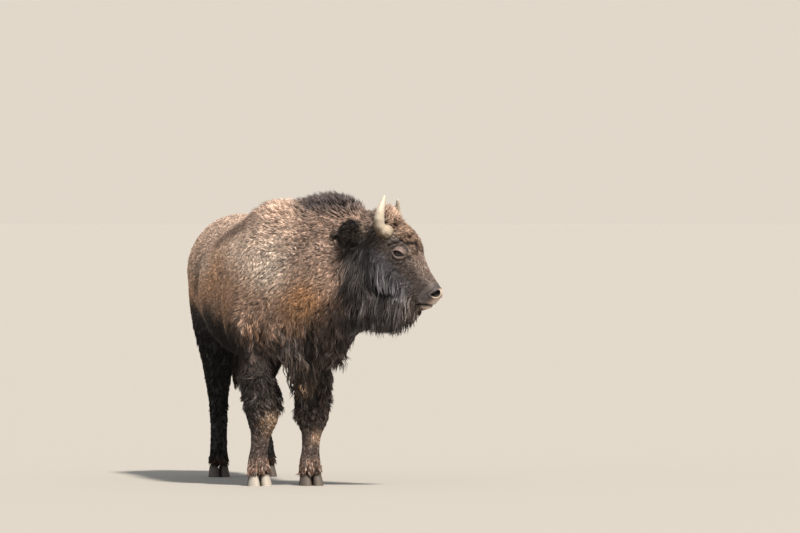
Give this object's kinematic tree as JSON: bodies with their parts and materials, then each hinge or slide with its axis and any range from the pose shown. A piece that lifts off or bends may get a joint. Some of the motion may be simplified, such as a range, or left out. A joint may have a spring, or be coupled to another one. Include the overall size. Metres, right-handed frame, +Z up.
{
  "type": "wisent",
  "caption": "Young wisent standing square with its head turned to its left, a life-size still model with a shaggy coat.",
  "frame": {"origin": "the middle of the covered floor area, on the floor under the animal", "axes": "+X forward along the trunk, from rump to chest; +Y to the animal's left; +Z up"},
  "size_m": [1.9038, 0.9718, 1.3877],
  "materials": {
    "coat": "shaggy brown fur, ochre on the flank and shoulder, darker on the head, belly and legs",
    "mane": "long wavy blackish brown hair of the beard, brisket and tail tuft",
    "nose": "short pale hair with a black moist nose pad",
    "horn": "ivory horn with a satin surface, browner at the base",
    "hoof": "pale worn hoof horn",
    "eye": "dark brown wet eye"
  },
  "bodies": {
    "root": {"foreleg_left_upper": "coat", "foreleg_left_shank": "coat", "foreleg_left_pastern": "coat", "foreleg_left_claw_inner": "hoof", "foreleg_left_dewclaw_inner": "hoof", "foreleg_left_claw_outer": "hoof", "foreleg_left_dewclaw_outer": "hoof", "foreleg_right_upper": "coat", "foreleg_right_shank": "coat", "foreleg_right_pastern": "coat", "foreleg_right_claw_outer": "hoof", "foreleg_right_dewclaw_outer": "hoof", "foreleg_right_claw_inner": "hoof", "foreleg_right_dewclaw_inner": "hoof", "hindleg_left_upper": "coat", "hindleg_left_shank": "coat", "hindleg_left_pastern": "coat", "hindleg_left_claw_inner": "hoof", "hindleg_left_dewclaw_inner": "hoof", "hindleg_left_claw_outer": "hoof", "hindleg_left_dewclaw_outer": "hoof", "hindleg_right_upper": "coat", "hindleg_right_shank": "coat", "hindleg_right_pastern": "coat", "hindleg_right_claw_outer": "hoof", "hindleg_right_dewclaw_outer": "hoof", "hindleg_right_claw_inner": "hoof", "hindleg_right_dewclaw_inner": "hoof", "neck": "coat", "trunk_shoulders": "coat", "trunk_barrel": "coat", "trunk_rump": "coat", "head": "coat", "muzzle": "nose", "jaw": "coat", "eye_left": "eye", "horn_left": "horn", "ear_left": "coat", "eye_right": "eye", "horn_right": "horn", "ear_right": "coat", "beard": "mane", "brisket_mane": "mane", "tail_dock": "coat", "tail_tuft": "mane"}
  },
  "joints": []
}
